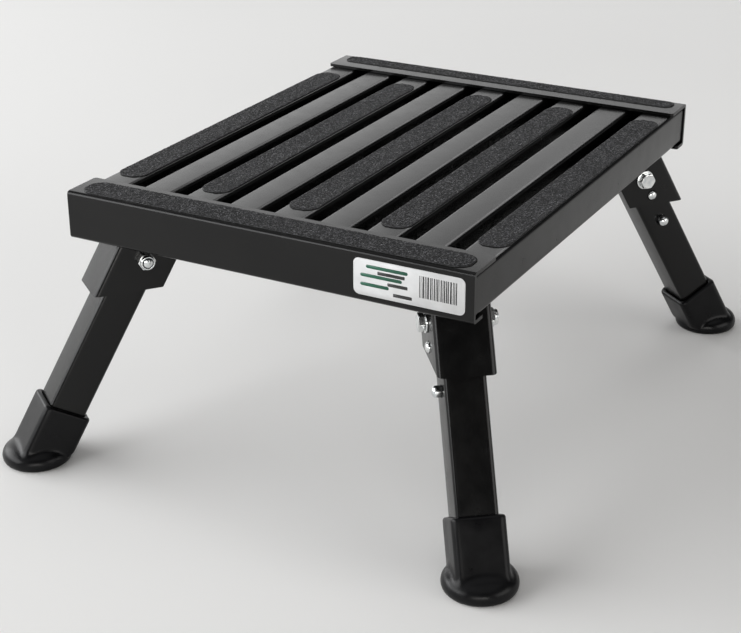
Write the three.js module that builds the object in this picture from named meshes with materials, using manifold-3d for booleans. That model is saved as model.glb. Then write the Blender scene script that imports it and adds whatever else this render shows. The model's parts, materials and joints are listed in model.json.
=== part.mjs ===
// Folding platform step: a deck of rectangular tubes between two channel rails, on four legs that splay
// outwards along the deck's diagonals, lock with a sprung pin, and fold under the deck.
// Millimetres, +Z up. The origin is on the floor under the deck's centre, X runs across the slats
// and Y along them. Each leg group has its origin on its pivot, X outwards and Z up.
import * as THREE from "three";
import { mergeVertices } from "three/addons/utils/BufferGeometryUtils.js";
import Module from "manifold-3d";

const wasm = await Module();
wasm.setup();

// ---- driving dimensions ----
const DECK_WIDTH = 304.8;
const DECK_LENGTH = 390;
const DECK_TOP = 196.8;
const FIT_GAP = 0.3; // left between pieces that are welded, glued or pressed together
const SEAT_GAP = 0.1; // left between a fastener and the face it is tightened on
const OVERRUN = 5; // how far a cutting or joining shape runs past the wall that it goes through
const FAR = 60; // past every edge of a bracket, as seen from its pivot

const RAIL_HEIGHT = 34;
const RAIL_TOP_FLANGE = 31.6;
const RAIL_BOTTOM_FLANGE = 14;
const RAIL_WALL = 2.4;
const RAIL_BEND = 2.7;

const SLAT_COUNT = 9;
const SLAT_WIDTH = 25.1;
const SLAT_PITCH = 34.7;
const SLAT_WALL = 1.6;
const SLAT_CORNER = 3.1;

const GRIT_THICKNESS = 0.7;
const GRIT_LIFT = 0.1;
const GRIT_LENGTH = 292;
const SLAT_GRIT_WIDTH = 22;
const FRONT_GRIT = { width: 23, inset: 3 }; // the inset is from the rail's outer face
const REAR_GRIT = { width: 16, inset: 2.8 };

const LABEL = { width: 77, height: 24.6, corner: 4, thickness: 0.3, fromEnd: 6, fromTop: 4.6 };

const LEG_LEAN = THREE.MathUtils.degToRad(29.5);
const LEG_BEARING = Math.atan2(DECK_LENGTH, DECK_WIDTH); // each leg leans along the deck's diagonal
const PIVOT_INSET_X = 28.8;
const PIVOT_INSET_Y = 36;
const PIVOT_HEIGHT = 146.3;

const BRACKET_HALF_WIDTH = 19.1;
const BRACKET_WALL = 3;
const BRACKET_WEB = 21.7; // outer face of the web, outwards from the pivot
const BRACKET_EDGE = -21.2; // open edge of the side plates
const BRACKET_BEND = 4;
const BRACKET_BOTTOM = 123.9;

const TUBE_SIZE = 27.5;
const TUBE_WALL = 2;
const TUBE_CORNER = 3;
const TUBE_ABOVE_PIVOT = 10.5;
const TUBE_BELOW_PIVOT = 153.5;

const BOLT_DIAMETER = 6.35;
const HEX_FLATS = 11.1;
const HEAD_HEIGHT = 4.4;
const NUT_HEIGHT = 5.2;
const NUT_COLLAR = { diameter: 10.2, height: 2.3 };
const BOLT_PAST_NUT = 0.6;
const WASHER = { outer: 14.6, inner: 6.9, thickness: 1.6 };
const BUSHING_DIAMETER = 10;
const BUSHING_END_GAP = 0.2; // between its ends and the bracket's plates
const RUNNING_GAP = 0.1; // radial, between the bushing and the tube that turns on it
const BOLT_HOLE_DIAMETER = 6.85;

const PIN_DIAMETER = 7.4;
const PIN_DROP = 16.2; // below the pivot, along the leg
const PIN_PROUD = 2.6; // beyond the bracket's side plate
const PIN_DOME = 2.2;
const BUTTON_DIAMETER = 8;
const BUTTON_DROP = 44.6;
const BUTTON_PROUD = 6.4; // beyond the tube
const BUTTON_DOME = 2.8;
const TUBE_HOLE_GAP = 0.25; // radial, round each plunger in the tube's wall
const BRACKET_HOLE_GAP = 0.5; // radial, round the pin in the bracket's plate

const LEAF_WIDTH = 9;
const LEAF_THICKNESS = 0.9;
const LEAF_NEAR = -8; // the arm that carries the pin and the button
const LEAF_FAR = 10.5; // the arm that leans on the tube's other wall
const LEAF_TOP = -9.5;
const LEAF_FAR_TOP = -15.5; // the far arm is the shorter one
const LEAF_BOTTOM = -52;
const LEAF_BEND = 3;
const LEAF_BEND_END = THREE.MathUtils.degToRad(315); // where the bend runs into the far arm

const SOLE_RADIUS = 22.5;
const SOLE_EDGE = { radius: 24.2, height: 1.2 }; // where the sole's rounded edge turns upwards
const FOOT_RADIUS = 25;
const SHOULDER_BASE = 4.4; // height at which the foot is widest
const SHOULDER_RISE = 9.2; // from there to the top of its domed shoulder
const BOOT_HALF = 17.6;
const BOOT_CORNER = 5;
const BOOT_RIM = 124; // below the pivot, along the leg
const BOOT_RIM_CHAMFER = 1.6;
const BOOT_SIDES = 28;

// ---- worked out from them ----
const slatHeight = RAIL_HEIGHT - 2 * (RAIL_WALL + FIT_GAP); // they fill the rails from inside
const slatTop = DECK_TOP - RAIL_WALL - FIT_GAP;
const slatBottom = slatTop - slatHeight;
const slatLength = DECK_LENGTH - 2 * (RAIL_WALL + FIT_GAP);
const railBottom = DECK_TOP - RAIL_HEIGHT;
const plateInside = BRACKET_HALF_WIDTH - BRACKET_WALL;
const tubeHalf = TUBE_SIZE / 2;
const washerTop = BRACKET_HALF_WIDTH + SEAT_GAP + WASHER.thickness; // these three from the pivot
const nutSeat = BRACKET_HALF_WIDTH + SEAT_GAP;
const nutTop = nutSeat + NUT_HEIGHT + NUT_COLLAR.height;

// ---- materials ----
const finish = (color, roughness, metalness) => () =>
  new THREE.MeshStandardMaterial({ color, roughness, metalness });
const powderCoat = finish(0x1b1b1c, 0.45, 0.1);
const grit = finish(0x161617, 0.95, 0);
const zincPlate = finish(0xc9ccce, 0.28, 1);
const springSteel = finish(0x8b8f94, 0.35, 1);
const rubber = finish(0x141415, 0.85, 0);
const labelFilm = finish(0xf1f2f0, 0.4, 0);

// ---- shape helpers ----
function roundedRectangle(width, height, corner) {
  const x = width / 2 - corner;
  const y = height / 2 - corner;
  const shape = new THREE.Shape();
  shape.absarc(x, y, corner, 0, Math.PI / 2);
  shape.absarc(-x, y, corner, Math.PI / 2, Math.PI);
  shape.absarc(-x, -y, corner, Math.PI, 1.5 * Math.PI);
  shape.absarc(x, -y, corner, 1.5 * Math.PI, 2 * Math.PI);
  shape.closePath();
  return shape;
}

function tubeSection(width, height, wall, corner) {
  const shape = roundedRectangle(width, height, corner);
  const x = width / 2 - wall;
  const y = height / 2 - wall;
  const bore = new THREE.Path();
  bore.moveTo(-x, -y);
  bore.lineTo(-x, y);
  bore.lineTo(x, y);
  bore.lineTo(x, -y);
  bore.closePath();
  shape.holes.push(bore);
  return shape;
}

function stadium(width, length) {
  const radius = width / 2;
  const reach = length / 2 - radius;
  const shape = new THREE.Shape();
  shape.absarc(reach, 0, radius, -Math.PI / 2, Math.PI / 2);
  shape.absarc(-reach, 0, radius, Math.PI / 2, 1.5 * Math.PI);
  shape.closePath();
  return shape;
}

const extrude = (shape, depth, curveSegments = 3) =>
  new THREE.ExtrudeGeometry(shape, { depth, curveSegments, bevelEnabled: false });

// A round bar along Y, from one Y to another.
function barAlongY(diameter, from, to, sides = 12) {
  const bar = new THREE.CylinderGeometry(diameter / 2, diameter / 2, to - from, sides);
  return bar.translate(0, (from + to) / 2, 0);
}

// A ring along Y: a solid of revolution whose outline closes on itself.
function ringAlongY(outer, inner, from, to, sides = 16) {
  const outline = [
    new THREE.Vector2(inner / 2, from),
    new THREE.Vector2(outer / 2, from),
    new THREE.Vector2(outer / 2, to),
    new THREE.Vector2(inner / 2, to),
    new THREE.Vector2(inner / 2, from),
  ];
  return new THREE.LatheGeometry(outline, sides);
}

// A round plunger along Y with a domed outer end at the more negative Y.
function domedPlunger(diameter, tip, base, domeHeight) {
  const radius = diameter / 2;
  const outline = [new THREE.Vector2(0, tip)];
  const domeSteps = 3;
  for (let i = 1; i <= domeSteps; i++) {
    const turn = (i / domeSteps) * (Math.PI / 2);
    const y = tip + domeHeight * (1 - Math.cos(turn));
    outline.push(new THREE.Vector2(radius * Math.sin(turn), y));
  }
  outline.push(new THREE.Vector2(radius, base), new THREE.Vector2(0, base));
  return new THREE.LatheGeometry(outline, 12);
}

const hexagonAlongY = (flats, from, to) => barAlongY(flats / Math.cos(Math.PI / 6), from, to, 6);

// ---- joining and cutting ----
function toSolid(geometry) {
  const bare = geometry.clone();
  bare.deleteAttribute("normal");
  bare.deleteAttribute("uv");
  const merged = mergeVertices(bare, 1e-4);
  const vertProperties = merged.getAttribute("position").array;
  const triVerts = new Uint32Array(merged.index.array);
  return new wasm.Manifold(new wasm.Mesh({ numProp: 3, vertProperties, triVerts }));
}

function toGeometry(solid) {
  const { vertProperties, triVerts } = solid.getMesh();
  const geometry = new THREE.BufferGeometry();
  geometry.setAttribute("position", new THREE.BufferAttribute(vertProperties, 3));
  geometry.setIndex(new THREE.BufferAttribute(triVerts, 1));
  geometry.computeVertexNormals();
  return geometry;
}

const cutBy = (geometry, tools) =>
  toGeometry(tools.reduce((solid, tool) => solid.subtract(toSolid(tool)), toSolid(geometry)));

const joined = (geometries) =>
  toGeometry(geometries.map(toSolid).reduce((sum, solid) => sum.add(solid)));

const commonTo = (a, b) => toGeometry(toSolid(a).intersect(toSolid(b)));

function boxBetween(low, high) {
  const size = high.clone().sub(low);
  const middle = high.clone().add(low).multiplyScalar(0.5);
  return new THREE.BoxGeometry(size.x, size.y, size.z).translate(middle.x, middle.y, middle.z);
}

// ---- the assembly ----
const step = new THREE.Group();

function place(parent, name, geometry, material) {
  const mesh = new THREE.Mesh(geometry, material());
  mesh.name = name;
  parent.add(mesh);
  return mesh;
}

// One channel rail, made for the front edge: the web faces -Y and the flanges point to +Y, a deep
// one over the slats' ends and a shallow one under them.
function railGeometry() {
  const r = RAIL_BEND;
  const inner = RAIL_BEND - RAIL_WALL;
  const top = RAIL_HEIGHT;
  const profile = new THREE.Shape();
  profile.moveTo(RAIL_BOTTOM_FLANGE, 0);
  profile.lineTo(RAIL_BOTTOM_FLANGE, RAIL_WALL);
  profile.absarc(r, r, inner, 1.5 * Math.PI, Math.PI, true);
  profile.absarc(r, top - r, inner, Math.PI, Math.PI / 2, true);
  profile.lineTo(RAIL_TOP_FLANGE, top - RAIL_WALL);
  profile.lineTo(RAIL_TOP_FLANGE, top);
  profile.absarc(r, top - r, r, Math.PI / 2, Math.PI);
  profile.absarc(r, r, r, Math.PI, 1.5 * Math.PI);
  profile.closePath();
  const alongX = new THREE.Matrix4().makeBasis(
    new THREE.Vector3(0, 1, 0),
    new THREE.Vector3(0, 0, 1),
    new THREE.Vector3(1, 0, 0),
  );
  return extrude(profile, DECK_WIDTH).translate(0, 0, -DECK_WIDTH / 2).applyMatrix4(alongX);
}

function addRails(parent) {
  for (const [name, turn] of [["front", 0], ["rear", Math.PI]]) {
    const end = new THREE.Group();
    end.rotation.z = turn;
    parent.add(end);
    const rail = place(end, `${name}_rail`, railGeometry(), powderCoat);
    rail.position.set(0, -DECK_LENGTH / 2, railBottom);
    const { width, inset } = name === "front" ? FRONT_GRIT : REAR_GRIT;
    const strip = extrude(stadium(width, GRIT_LENGTH), GRIT_THICKNESS, 6);
    const laid = place(end, `${name}_rail_grip_strip`, strip, grit);
    laid.position.set(0, -DECK_LENGTH / 2 + inset + width / 2, DECK_TOP + GRIT_LIFT);
  }
}

function addSlats(parent) {
  for (let i = 0; i < SLAT_COUNT; i++) {
    const x = (i - (SLAT_COUNT - 1) / 2) * SLAT_PITCH;
    const section = tubeSection(SLAT_WIDTH, slatHeight, SLAT_WALL, SLAT_CORNER);
    const slat = place(parent, `slat_${i + 1}`, extrude(section, slatLength), powderCoat);
    slat.rotation.x = -Math.PI / 2;
    slat.position.set(x, -slatLength / 2, slatTop - slatHeight / 2);
    if (i % 2 === 0) {
      const strip = extrude(stadium(SLAT_GRIT_WIDTH, GRIT_LENGTH), GRIT_THICKNESS, 6);
      const laid = place(parent, `slat_${i + 1}_grip_strip`, strip, grit);
      laid.rotation.z = Math.PI / 2;
      laid.position.set(x, 0, slatTop + GRIT_LIFT);
    }
  }
}

// A blank sticker on the front rail's web, near its right end.
function addLabel(parent) {
  const film = extrude(roundedRectangle(LABEL.width, LABEL.height, LABEL.corner), LABEL.thickness);
  const label = place(parent, "blank_label", film, labelFilm);
  label.rotation.x = Math.PI / 2;
  label.position.set(
    DECK_WIDTH / 2 - LABEL.fromEnd - LABEL.width / 2,
    -DECK_LENGTH / 2 - GRIT_LIFT,
    DECK_TOP - LABEL.fromTop - LABEL.height / 2,
  );
}

// Turns a leg's own axes (X outwards, Z up along the tube) to the lean, then to its bearing.
const leanTurn = new THREE.Matrix4().makeRotationY(-LEG_LEAN);
const bearingTurn = (bearing) => new THREE.Matrix4().makeRotationZ(bearing);

// A U channel round the leg's top. It is cut level below the deck, coped round the rail's flange
// and drilled for the pivot bolt and, on its -Y plate, the lock pin.
function bracketGeometry(corner) {
  const profile = new THREE.Shape();
  const half = BRACKET_HALF_WIDTH;
  const bendX = BRACKET_WEB - BRACKET_BEND;
  const bendY = half - BRACKET_BEND;
  const inner = BRACKET_BEND - BRACKET_WALL;
  profile.moveTo(BRACKET_EDGE, -half);
  profile.absarc(bendX, -bendY, BRACKET_BEND, -Math.PI / 2, 0);
  profile.absarc(bendX, bendY, BRACKET_BEND, 0, Math.PI / 2);
  profile.lineTo(BRACKET_EDGE, half);
  profile.lineTo(BRACKET_EDGE, plateInside);
  profile.absarc(bendX, bendY, inner, Math.PI / 2, 0, true);
  profile.absarc(bendX, -bendY, inner, 0, -Math.PI / 2, true);
  profile.lineTo(BRACKET_EDGE, -plateInside);
  profile.closePath();
  const boltHole = barAlongY(BOLT_HOLE_DIAMETER, -half - OVERRUN, half + OVERRUN);
  const pinHole = barAlongY(PIN_DIAMETER + 2 * BRACKET_HOLE_GAP, -half - OVERRUN, 0);
  const drilled = cutBy(extrude(profile, 2 * FAR).translate(0, 0, -FAR), [
    boltHole,
    pinHole.translate(0, 0, -PIN_DROP),
  ]);
  drilled.applyMatrix4(leanTurn).applyMatrix4(bearingTurn(corner.bearing));
  const low = new THREE.Vector3(-FAR, -FAR, BRACKET_BOTTOM - PIVOT_HEIGHT);
  const high = new THREE.Vector3(FAR, FAR, slatBottom - FIT_GAP - PIVOT_HEIGHT);
  const railReach = RAIL_BOTTOM_FLANGE + FIT_GAP;
  const railInside = (DECK_LENGTH / 2 - railReach - Math.abs(corner.y)) * corner.ySign;
  const railFar = corner.ySign * 2 * FAR;
  const cope = boxBetween(
    new THREE.Vector3(-FAR, Math.min(railInside, railFar), railBottom - FIT_GAP - PIVOT_HEIGHT),
    new THREE.Vector3(FAR, Math.max(railInside, railFar), FAR),
  );
  return cutBy(commonTo(drilled, boxBetween(low, high)), [cope]);
}

function legTubeGeometry() {
  const length = TUBE_ABOVE_PIVOT + TUBE_BELOW_PIVOT;
  const tube = extrude(tubeSection(TUBE_SIZE, TUBE_SIZE, TUBE_WALL, TUBE_CORNER), length);
  const reach = tubeHalf + OVERRUN;
  const pivotHole = barAlongY(BUSHING_DIAMETER + 2 * RUNNING_GAP, -reach, reach, 16);
  const pinHole = barAlongY(PIN_DIAMETER + 2 * TUBE_HOLE_GAP, -reach, 0);
  const buttonHole = barAlongY(BUTTON_DIAMETER + 2 * TUBE_HOLE_GAP, -reach, 0);
  return cutBy(tube.translate(0, 0, -TUBE_BELOW_PIVOT), [
    pivotHole,
    pinHole.translate(0, 0, -PIN_DROP),
    buttonHole.translate(0, 0, -BUTTON_DROP),
  ]);
}

// How far the boot's sleeve stands from the leg's axis, at one turn round it.
function sleeveReach(turn) {
  const flat = BOOT_HALF - BOOT_CORNER;
  const c = Math.abs(Math.cos(turn));
  const s = Math.abs(Math.sin(turn));
  const straight = BOOT_HALF / Math.max(c, s);
  if (Math.min(c, s) * straight <= flat) return straight;
  const along = flat * (c + s);
  return along + Math.sqrt(along * along - 2 * flat * flat + BOOT_CORNER * BOOT_CORNER);
}

// The foot is drawn in upright axes at the middle of its sole: x outwards, z up. This takes a
// point there from the leg's axes: how far out across the leg, how far to its side and how far up.
const upright = (out, side, up) =>
  new THREE.Vector3(
    out * Math.cos(LEG_LEAN) - up * Math.sin(LEG_LEAN),
    side,
    out * Math.sin(LEG_LEAN) + up * Math.cos(LEG_LEAN),
  );

// The domed shoulder: upright at its widest, nearly level on top.
const shoulderHeight = (radius) =>
  SHOULDER_BASE + SHOULDER_RISE * Math.sqrt(Math.max(1 - (radius / FOOT_RADIUS) ** 4, 0));
const shoulderRadius = (height) =>
  FOOT_RADIUS * (1 - ((height - SHOULDER_BASE) / SHOULDER_RISE) ** 2) ** 0.25;

// Where a line up the sleeve comes out of the shoulder.
function creasePoint(out, side, length) {
  let inside = 0;
  let outside = length;
  for (let i = 0; i < 30; i++) {
    const middle = (inside + outside) / 2;
    const point = upright(out, side, middle);
    if (point.z < shoulderHeight(Math.hypot(point.x, point.y))) inside = middle;
    else outside = middle;
  }
  return upright(out, side, outside);
}

// One line of the boot's skin, from the edge of the sole over the shoulder and up to the rim.
function bootLine(turn, length) {
  const reach = sleeveReach(turn);
  const crease = creasePoint(reach * Math.cos(turn), reach * Math.sin(turn), length);
  const bearing = Math.atan2(crease.y, crease.x);
  const ring = (radius, height) =>
    new THREE.Vector3(radius * Math.cos(bearing), radius * Math.sin(bearing), height);
  const sleeve = (inset, drop) =>
    upright((reach - inset) * Math.cos(turn), (reach - inset) * Math.sin(turn), length - drop);
  const line = [
    ring(SOLE_RADIUS, 0),
    ring(SOLE_EDGE.radius, SOLE_EDGE.height),
    ring(FOOT_RADIUS, SHOULDER_BASE),
  ];
  for (const share of [0.5, 0.85]) {
    const height = SHOULDER_BASE + share * (crease.z - SHOULDER_BASE);
    line.push(ring(shoulderRadius(height), height));
  }
  line.push(crease, sleeve(0, BOOT_RIM_CHAMFER), sleeve(BOOT_RIM_CHAMFER, 0));
  return line;
}

// A rubber boot: a rounded square sleeve along the leg that spreads into a round level foot.
function bootGeometry() {
  const toFloor = PIVOT_HEIGHT / Math.cos(LEG_LEAN);
  const lines = [];
  for (let i = 0; i < BOOT_SIDES; i++) {
    lines.push(bootLine((i / BOOT_SIDES) * 2 * Math.PI, toFloor - BOOT_RIM));
  }
  const rings = lines[0].length;
  const index = [];
  for (let i = 0; i < BOOT_SIDES; i++) {
    const here = i * rings;
    const next = ((i + 1) % BOOT_SIDES) * rings;
    for (let r = 0; r < rings - 1; r++) {
      index.push(here + r, next + r, next + r + 1, here + r, next + r + 1, here + r + 1);
    }
  }
  const top = rings - 1;
  for (let i = 1; i < BOOT_SIDES - 1; i++) {
    index.push(0, (i + 1) * rings, i * rings);
    index.push(top, i * rings + top, (i + 1) * rings + top);
  }
  const skin = new THREE.BufferGeometry().setFromPoints(lines.flat());
  skin.setIndex(index);
  const inPivotAxes = skin
    .translate(Math.sin(LEG_LEAN) * toFloor, 0, -PIVOT_HEIGHT)
    .applyMatrix4(leanTurn.clone().invert());
  const socketSize = TUBE_SIZE + 2 * FIT_GAP;
  const socketLength = TUBE_BELOW_PIVOT - BOOT_RIM + FIT_GAP + OVERRUN;
  const square = roundedRectangle(socketSize, socketSize, TUBE_CORNER + FIT_GAP);
  const socket = extrude(square, socketLength).translate(0, 0, -TUBE_BELOW_PIVOT - FIT_GAP);
  return cutBy(inPivotAxes, [socket]);
}

function nutGeometry() {
  const collar = barAlongY(NUT_COLLAR.diameter, nutSeat, nutTop);
  const body = joined([hexagonAlongY(HEX_FLATS, nutSeat, nutSeat + NUT_HEIGHT), collar]);
  const thread = barAlongY(BOLT_HOLE_DIAMETER, nutSeat - OVERRUN, nutTop + OVERRUN);
  return cutBy(body, [thread]);
}

function boltGeometry() {
  const underHead = -washerTop - SEAT_GAP;
  const headTop = underHead - HEAD_HEIGHT;
  return joined([
    hexagonAlongY(HEX_FLATS, headTop, underHead),
    barAlongY(BOLT_DIAMETER, (headTop + underHead) / 2, nutTop + BOLT_PAST_NUT),
  ]);
}

// A V-shaped leaf spring inside the tube, seen along X: its near arm carries the two plungers and
// its far arm leans on the opposite wall.
function lockSpringGeometry() {
  const t = LEAF_THICKNESS;
  const bendX = LEAF_NEAR - t + LEAF_BEND;
  const bendY = LEAF_BOTTOM + LEAF_BEND;
  const profile = new THREE.Shape();
  profile.moveTo(LEAF_NEAR - t, LEAF_TOP);
  profile.lineTo(LEAF_NEAR - t, bendY);
  profile.absarc(bendX, bendY, LEAF_BEND, Math.PI, LEAF_BEND_END);
  profile.lineTo(LEAF_FAR + t, LEAF_FAR_TOP);
  profile.lineTo(LEAF_FAR, LEAF_FAR_TOP);
  profile.absarc(bendX, bendY, LEAF_BEND - t, LEAF_BEND_END, Math.PI, true);
  profile.lineTo(LEAF_NEAR, LEAF_TOP);
  profile.closePath();
  const acrossTube = new THREE.Matrix4().makeBasis(
    new THREE.Vector3(0, 1, 0),
    new THREE.Vector3(0, 0, 1),
    new THREE.Vector3(1, 0, 0),
  );
  return extrude(profile, LEAF_WIDTH, 6)
    .translate(0, 0, -LEAF_WIDTH / 2)
    .applyMatrix4(acrossTube);
}

function washerGeometry() {
  return ringAlongY(WASHER.outer, WASHER.inner, -washerTop, WASHER.thickness - washerTop);
}

function bushingGeometry() {
  const end = plateInside - BUSHING_END_GAP;
  return ringAlongY(BUSHING_DIAMETER, WASHER.inner, -end, end);
}

const plungerBase = LEAF_NEAR - LEAF_THICKNESS - SEAT_GAP;
const pinTip = -BRACKET_HALF_WIDTH - PIN_PROUD;
const buttonTip = -tubeHalf - BUTTON_PROUD;

// Pieces of one leg that are turned with its lean, and how each is made.
const leaningPieces = {
  leg_tube: [legTubeGeometry, powderCoat],
  rubber_foot: [bootGeometry, rubber],
  pivot_bolt: [boltGeometry, zincPlate],
  pivot_nut: [nutGeometry, zincPlate],
  pivot_washer: [washerGeometry, zincPlate],
  pivot_bushing: [bushingGeometry, zincPlate],
  lock_spring: [lockSpringGeometry, springSteel],
  lock_pin: [() => domedPlunger(PIN_DIAMETER, pinTip, plungerBase, PIN_DOME), zincPlate],
  release_button: [() => domedPlunger(BUTTON_DIAMETER, buttonTip, plungerBase, BUTTON_DOME), zincPlate],
};

function addLeg(parent, name, xSign, ySign) {
  const corner = {
    x: xSign * (DECK_WIDTH / 2 - PIVOT_INSET_X),
    y: ySign * (DECK_LENGTH / 2 - PIVOT_INSET_Y),
    ySign,
    bearing: Math.atan2(ySign * Math.sin(LEG_BEARING), xSign * Math.cos(LEG_BEARING)),
  };
  const bracket = place(parent, `leg_bracket_${name}`, bracketGeometry(corner), powderCoat);
  bracket.position.set(corner.x, corner.y, PIVOT_HEIGHT);
  const upright = new THREE.Group();
  upright.position.copy(bracket.position);
  upright.rotation.z = corner.bearing;
  const leaning = new THREE.Group();
  leaning.rotation.y = -LEG_LEAN;
  upright.add(leaning);
  parent.add(upright);
  for (const [piece, [make, material]] of Object.entries(leaningPieces)) {
    const mesh = place(leaning, `${piece}_${name}`, make(), material);
    if (piece === "lock_pin") mesh.position.z = -PIN_DROP;
    if (piece === "release_button") mesh.position.z = -BUTTON_DROP;
  }
}

addRails(step);
addSlats(step);
addLabel(step);
addLeg(step, "front_left", -1, -1);
addLeg(step, "front_right", 1, -1);
addLeg(step, "rear_right", 1, 1);
addLeg(step, "rear_left", -1, 1);

export default step;
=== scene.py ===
"""Folding platform step: the finished look of each piece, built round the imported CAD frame.

Blender objects are in metres. Shapes are made in millimetres, in the axes of the rail, slat or leg
that they belong to, and every place and main size comes from the frame's own nodes and joints.
"""
import json
import math
import random

import bmesh
import bpy
from mathutils import Matrix, Quaternion, Vector, noise


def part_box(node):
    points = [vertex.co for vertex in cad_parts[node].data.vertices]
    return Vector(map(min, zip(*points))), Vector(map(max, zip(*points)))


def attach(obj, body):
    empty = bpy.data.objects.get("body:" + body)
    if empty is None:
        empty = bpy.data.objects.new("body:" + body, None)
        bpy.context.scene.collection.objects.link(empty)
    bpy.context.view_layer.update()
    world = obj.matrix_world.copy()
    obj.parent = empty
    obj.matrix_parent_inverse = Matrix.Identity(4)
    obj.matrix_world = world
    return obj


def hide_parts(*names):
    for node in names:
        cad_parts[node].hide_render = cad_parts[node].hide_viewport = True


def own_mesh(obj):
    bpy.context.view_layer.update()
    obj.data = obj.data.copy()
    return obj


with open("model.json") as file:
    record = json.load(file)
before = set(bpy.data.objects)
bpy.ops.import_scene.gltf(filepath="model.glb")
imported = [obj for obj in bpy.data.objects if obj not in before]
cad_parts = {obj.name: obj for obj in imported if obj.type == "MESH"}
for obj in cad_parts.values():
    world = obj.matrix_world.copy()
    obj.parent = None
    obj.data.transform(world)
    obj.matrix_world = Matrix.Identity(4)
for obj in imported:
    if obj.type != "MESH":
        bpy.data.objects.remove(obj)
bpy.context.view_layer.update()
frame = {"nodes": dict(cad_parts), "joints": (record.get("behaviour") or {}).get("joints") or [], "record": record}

MM = 0.001
UP = Vector((0, 0, 1))
CORNERS = ("front_left", "front_right", "rear_right", "rear_left")

# ---- sizes of the detail, in millimetres ----
EDGE = 0.25  # how far a sheared or sawn edge is broken
SLAT = {"wall": 1.6, "corner": 3.1}
RAIL = {"wall": 2.4, "bend": 2.7, "corner": 2.2, "edge": 0.6, "bottom_flange": 14.0}
BRACKET = {"wall": 3.0, "bend": 4.0}
TUBE = {"wall": 2.0, "corner": 3.0}
BOLT = {"diameter": 6.35, "hole": 6.9, "pitch": 1.27, "thread_length": 11.0, "thread_depth": 0.55}
NUT = {"bore": 3.3, "shoulder": 5.2, "collar": 5.1}  # two radii, and the hexagon's height
WASHER_BORE = 3.45  # a radius, and the bushing's too
CHAMFER_SLOPE = 0.5774  # 30 degrees, on a hexagon's corners
HEX_CORNER = 1.135  # how far those corners reach, as a multiple of half the flats
LEAF = {"bend": 3.0, "thick": 0.9, "far_arm": 6.0}  # how much lower the far arm ends
PLUNGER_DOMES = {"lock_pin": 2.3, "release_button": 2.9}
PLUNGER_HOLE = 7.9  # this and the next two are diameters
BUTTON_HOLE = 8.5
BRACKET_PIN_HOLE = 8.4
HOLE_SIDES = 48
BOOT = {"half": 17.6, "corner": 5.0, "rim": 2.2, "lip": 1.2, "socket": 14.05, "socket_corner": 3.3}
SOLE = {"flat": 22.3, "widest": 24.8, "widest_height": 4.4, "dome": 9.2}
SHOULDER_FILLET = 4.2  # between the boot's sleeve and its foot
GRIT_STEP = 0.8  # between the points that the grains are raised from
GRIT_RELIEF = 0.44
LABEL_CORNER = 4.0
INK_HEIGHT = 0.02  # how far ink stands above the film
JOIN_GAP = 0.3  # the CAD's gap between pieces that touch
CLEAR = 400  # a cutter's reach when it has to pass everything
FLOOR_RADIUS = 16000


# ---- small helpers ----
def box_in(place, node):
    """Lowest and highest corner of a CAD node in the axes of a place, in millimetres."""
    inverse = place.inverted()
    points = [inverse @ v.co / MM for v in frame["nodes"][node].data.vertices]
    low = Vector([min(p[i] for p in points) for i in range(3)])
    high = Vector([max(p[i] for p in points) for i in range(3)])
    return low, high


def axes_at(origin, x, y, z):
    """A place: its origin in metres and its three directions in the row frame."""
    turn = Matrix((x, y, z)).transposed().to_4x4()
    return Matrix.Translation(origin) @ turn


def leg_place(corner):
    """A leg's own axes: X out through the tube's outer face, Y along the pivot, Z up the tube."""
    joint = next(j for j in frame["joints"] if j["name"] == f"fold_{corner}")
    mount = next(m for m in frame["record"]["mounts"] if m["name"] == f"sole_{corner}")
    pivot, sole = Vector(joint["pos_m"]), Vector(mount["pos_m"])
    across = Vector(joint["axis"]).normalized()
    along = (pivot - sole).normalized()
    return axes_at(pivot, across.cross(along), across, along), sole


def arc(centre_x, centre_y, radius, first, last, steps):
    """Points along an arc between two angles in degrees, both ends included."""
    turns = [math.radians(first + (last - first) * i / steps) for i in range(steps + 1)]
    return [(centre_x + radius * math.cos(t), centre_y + radius * math.sin(t)) for t in turns]


def rounded_rectangle(half_x, half_y, corner, per_corner=8, per_side=1):
    """Points round a rectangle, the same count whatever its size, from the middle of its +X side."""
    points = []
    for quarter in range(4):
        turn = Matrix.Rotation(math.radians(90 * quarter), 2)
        x, y = (half_x, half_y) if quarter % 2 == 0 else (half_y, half_x)
        side = [(x, (y - corner) * i / per_side) for i in range(per_side)]
        side += arc(x - corner, y - corner, corner, 0, 90, per_corner)
        side += [((x - corner) * (1 - i / per_side), y) for i in range(1, per_side)]
        points += [tuple(turn @ Vector(p)) for p in side]
    return points


def sleeve_ring(half, corner):
    """The square section of the boot's sleeve, with enough points for the foot to be round."""
    return rounded_rectangle(half, half, corner, 14, 5)


# ---- meshes ----
def to_mesh(name, vertices, faces, inks=None):
    """A mesh in metres from points in millimetres, its faces turned outwards."""
    mesh = bpy.data.meshes.new(name)
    mesh.from_pydata([Vector(v) * MM for v in vertices], [], faces)
    if inks:
        mesh.polygons.foreach_set("material_index", inks)
    shape = bmesh.new()
    shape.from_mesh(mesh)
    bmesh.ops.remove_doubles(shape, verts=shape.verts, dist=1e-7)
    bmesh.ops.recalc_face_normals(shape, faces=shape.faces)
    shape.to_mesh(mesh)
    shape.free()
    return mesh


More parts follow.
